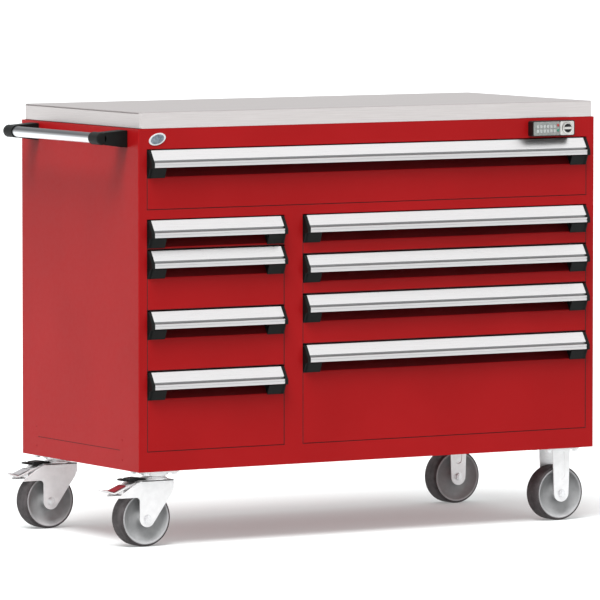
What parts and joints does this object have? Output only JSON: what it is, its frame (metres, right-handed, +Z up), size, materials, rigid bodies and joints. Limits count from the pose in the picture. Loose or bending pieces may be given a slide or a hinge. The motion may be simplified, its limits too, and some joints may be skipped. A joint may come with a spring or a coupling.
{
  "type": "rolling tool chest",
  "caption": "Wide rolling steel tool chest with a full-width top drawer over a narrow and a wide bank of drawers, a stainless worktop, a side push bar, a keypad lock and braked casters.",
  "frame": {"origin": "on the floor, under the middle of the whole outline, push bar and lock included", "axes": "+Z up; the drawers open towards -Y; +X runs from the push bar end to the rigid caster end"},
  "size_m": [1.621, 0.716, 1.226],
  "materials": {
    "red_paint": "gloss",
    "aluminium": "brushed",
    "satin_aluminium": "satin",
    "black_plastic": "matte",
    "stainless": "brushed",
    "nickel": "satin",
    "badge_plastic": "satin",
    "tyre_rubber": "matte",
    "wheel_core_plastic": "satin",
    "slide_steel": "satin",
    "zinc": "bright"
  },
  "bodies": {
    "cabinet": {"left_side": "red_paint", "right_side": "red_paint", "back_panel": "red_paint", "base_pan": "red_paint", "front_frame": "red_paint", "centre_partition": "red_paint", "slide_rails": "slide_steel", "worktop": "stainless", "push_bar": "satin_aluminium", "push_bar_brackets": "black_plastic", "lock_housing": "black_plastic", "lock_keypad": "nickel", "badge": "badge_plastic", "swivel_plates": "zinc", "rigid_forks": "zinc", "rigid_axles": "zinc", "caster_bolts": "zinc"},
    "front_swivel": {"front_fork": "zinc", "front_axle": "zinc"},
    "rear_swivel": {"rear_fork": "zinc", "rear_axle": "zinc"},
    "front_brake": {"front_pedal": "zinc"},
    "rear_brake": {"rear_pedal": "zinc"},
    "knob": {"lock_knob": "nickel"},
    "lock_bar": {"lock_bar": "slide_steel"},
    "front_left_wheel": {"front_left_tyre": "tyre_rubber", "front_left_core": "wheel_core_plastic"},
    "rear_left_wheel": {"rear_left_tyre": "tyre_rubber", "rear_left_core": "wheel_core_plastic"},
    "front_right_wheel": {"front_right_tyre": "tyre_rubber", "front_right_core": "wheel_core_plastic"},
    "rear_right_wheel": {"rear_right_tyre": "tyre_rubber", "rear_right_core": "wheel_core_plastic"},
    "top_drawer": {"top_drawer": "red_paint", "top_pull": "aluminium"},
    "top_slides": {"top_slides": "slide_steel"},
    "left_drawer_1": {"left_drawer_1": "red_paint", "left_pull_1": "aluminium"},
    "left_slides_1": {"left_slides_1": "slide_steel"},
    "left_drawer_2": {"left_drawer_2": "red_paint", "left_pull_2": "aluminium"},
    "left_slides_2": {"left_slides_2": "slide_steel"},
    "left_drawer_3": {"left_drawer_3": "red_paint", "left_pull_3": "aluminium"},
    "left_slides_3": {"left_slides_3": "slide_steel"},
    "left_drawer_4": {"left_drawer_4": "red_paint", "left_pull_4": "aluminium"},
    "left_slides_4": {"left_slides_4": "slide_steel"},
    "right_drawer_1": {"right_drawer_1": "red_paint", "right_pull_1": "aluminium"},
    "right_slides_1": {"right_slides_1": "slide_steel"},
    "right_drawer_2": {"right_drawer_2": "red_paint", "right_pull_2": "aluminium"},
    "right_slides_2": {"right_slides_2": "slide_steel"},
    "right_drawer_3": {"right_drawer_3": "red_paint", "right_pull_3": "aluminium"},
    "right_slides_3": {"right_slides_3": "slide_steel"},
    "right_drawer_4": {"right_drawer_4": "red_paint", "right_pull_4": "aluminium"},
    "right_slides_4": {"right_slides_4": "slide_steel"}
  },
  "joints": [
    {"name": "front_swivel_turn", "type": "hinge", "parent": "cabinet", "child": "front_swivel", "pos_m": [-0.6315, -0.267, 0.188], "axis": [0, 0, 1], "continuous": true},
    {"name": "front_left_wheel_spin", "type": "hinge", "parent": "front_swivel", "child": "front_left_wheel", "pos_m": [-0.6735, -0.267, 0.08], "axis": [0, 1, 0], "continuous": true},
    {"name": "front_brake_press", "type": "hinge", "parent": "front_swivel", "child": "front_brake", "pos_m": [-0.7035, -0.267, 0.176], "axis": [0, 1, 0], "range_deg": [-8, 0]},
    {"name": "front_right_wheel_spin", "type": "hinge", "parent": "cabinet", "child": "front_right_wheel", "pos_m": [0.7155, -0.267, 0.08], "axis": [0, 1, 0], "continuous": true},
    {"name": "rear_swivel_turn", "type": "hinge", "parent": "cabinet", "child": "rear_swivel", "pos_m": [-0.6315, 0.297, 0.188], "axis": [0, 0, 1], "continuous": true},
    {"name": "rear_left_wheel_spin", "type": "hinge", "parent": "rear_swivel", "child": "rear_left_wheel", "pos_m": [-0.6735, 0.297, 0.08], "axis": [0, 1, 0], "continuous": true},
    {"name": "rear_brake_press", "type": "hinge", "parent": "rear_swivel", "child": "rear_brake", "pos_m": [-0.7035, 0.297, 0.176], "axis": [0, 1, 0], "range_deg": [-8, 0]},
    {"name": "rear_right_wheel_spin", "type": "hinge", "parent": "cabinet", "child": "rear_right_wheel", "pos_m": [0.7155, 0.297, 0.08], "axis": [0, 1, 0], "continuous": true},
    {"name": "lock_bar_lift", "type": "slide", "parent": "cabinet", "child": "lock_bar", "axis": [0, 0, 1], "range_m": [0, 0.008]},
    {"name": "knob_turn", "type": "hinge", "parent": "cabinet", "child": "knob", "pos_m": [0.7005, -0.358, 1.15], "axis": [0, -1, 0], "range_deg": [0, 90]},
    {"name": "top_drawer_slide", "type": "slide", "parent": "cabinet", "child": "top_drawer", "axis": [0, -1, 0], "range_m": [0, 0.58]},
    {"name": "top_slides_slide", "type": "slide", "parent": "cabinet", "child": "top_slides", "axis": [0, -1, 0], "range_m": [0, 0.2905]},
    {"name": "left_drawer_1_slide", "type": "slide", "parent": "cabinet", "child": "left_drawer_1", "axis": [0, -1, 0], "range_m": [0, 0.58]},
    {"name": "left_slides_1_slide", "type": "slide", "parent": "cabinet", "child": "left_slides_1", "axis": [0, -1, 0], "range_m": [0, 0.2905]},
    {"name": "left_drawer_2_slide", "type": "slide", "parent": "cabinet", "child": "left_drawer_2", "axis": [0, -1, 0], "range_m": [0, 0.58]},
    {"name": "left_slides_2_slide", "type": "slide", "parent": "cabinet", "child": "left_slides_2", "axis": [0, -1, 0], "range_m": [0, 0.2905]},
    {"name": "left_drawer_3_slide", "type": "slide", "parent": "cabinet", "child": "left_drawer_3", "axis": [0, -1, 0], "range_m": [0, 0.58]},
    {"name": "left_slides_3_slide", "type": "slide", "parent": "cabinet", "child": "left_slides_3", "axis": [0, -1, 0], "range_m": [0, 0.2905]},
    {"name": "left_drawer_4_slide", "type": "slide", "parent": "cabinet", "child": "left_drawer_4", "axis": [0, -1, 0], "range_m": [0, 0.58]},
    {"name": "left_slides_4_slide", "type": "slide", "parent": "cabinet", "child": "left_slides_4", "axis": [0, -1, 0], "range_m": [0, 0.2905]},
    {"name": "right_drawer_1_slide", "type": "slide", "parent": "cabinet", "child": "right_drawer_1", "axis": [0, -1, 0], "range_m": [0, 0.58]},
    {"name": "right_slides_1_slide", "type": "slide", "parent": "cabinet", "child": "right_slides_1", "axis": [0, -1, 0], "range_m": [0, 0.2905]},
    {"name": "right_drawer_2_slide", "type": "slide", "parent": "cabinet", "child": "right_drawer_2", "axis": [0, -1, 0], "range_m": [0, 0.58]},
    {"name": "right_slides_2_slide", "type": "slide", "parent": "cabinet", "child": "right_slides_2", "axis": [0, -1, 0], "range_m": [0, 0.2905]},
    {"name": "right_drawer_3_slide", "type": "slide", "parent": "cabinet", "child": "right_drawer_3", "axis": [0, -1, 0], "range_m": [0, 0.58]},
    {"name": "right_slides_3_slide", "type": "slide", "parent": "cabinet", "child": "right_slides_3", "axis": [0, -1, 0], "range_m": [0, 0.2905]},
    {"name": "right_drawer_4_slide", "type": "slide", "parent": "cabinet", "child": "right_drawer_4", "axis": [0, -1, 0], "range_m": [0, 0.58]},
    {"name": "right_slides_4_slide", "type": "slide", "parent": "cabinet", "child": "right_slides_4", "axis": [0, -1, 0], "range_m": [0, 0.2905]}
  ],
  "couplings": [
    {"joint": "knob_turn", "follows": "lock_bar_lift", "rad_per_m": 196.3},
    {"joint": "top_slides_slide", "follows": "top_drawer_slide", "ratio": 0.5},
    {"joint": "left_slides_1_slide", "follows": "left_drawer_1_slide", "ratio": 0.5},
    {"joint": "left_slides_2_slide", "follows": "left_drawer_2_slide", "ratio": 0.5},
    {"joint": "left_slides_3_slide", "follows": "left_drawer_3_slide", "ratio": 0.5},
    {"joint": "left_slides_4_slide", "follows": "left_drawer_4_slide", "ratio": 0.5},
    {"joint": "right_slides_1_slide", "follows": "right_drawer_1_slide", "ratio": 0.5},
    {"joint": "right_slides_2_slide", "follows": "right_drawer_2_slide", "ratio": 0.5},
    {"joint": "right_slides_3_slide", "follows": "right_drawer_3_slide", "ratio": 0.5},
    {"joint": "right_slides_4_slide", "follows": "right_drawer_4_slide", "ratio": 0.5}
  ]
}
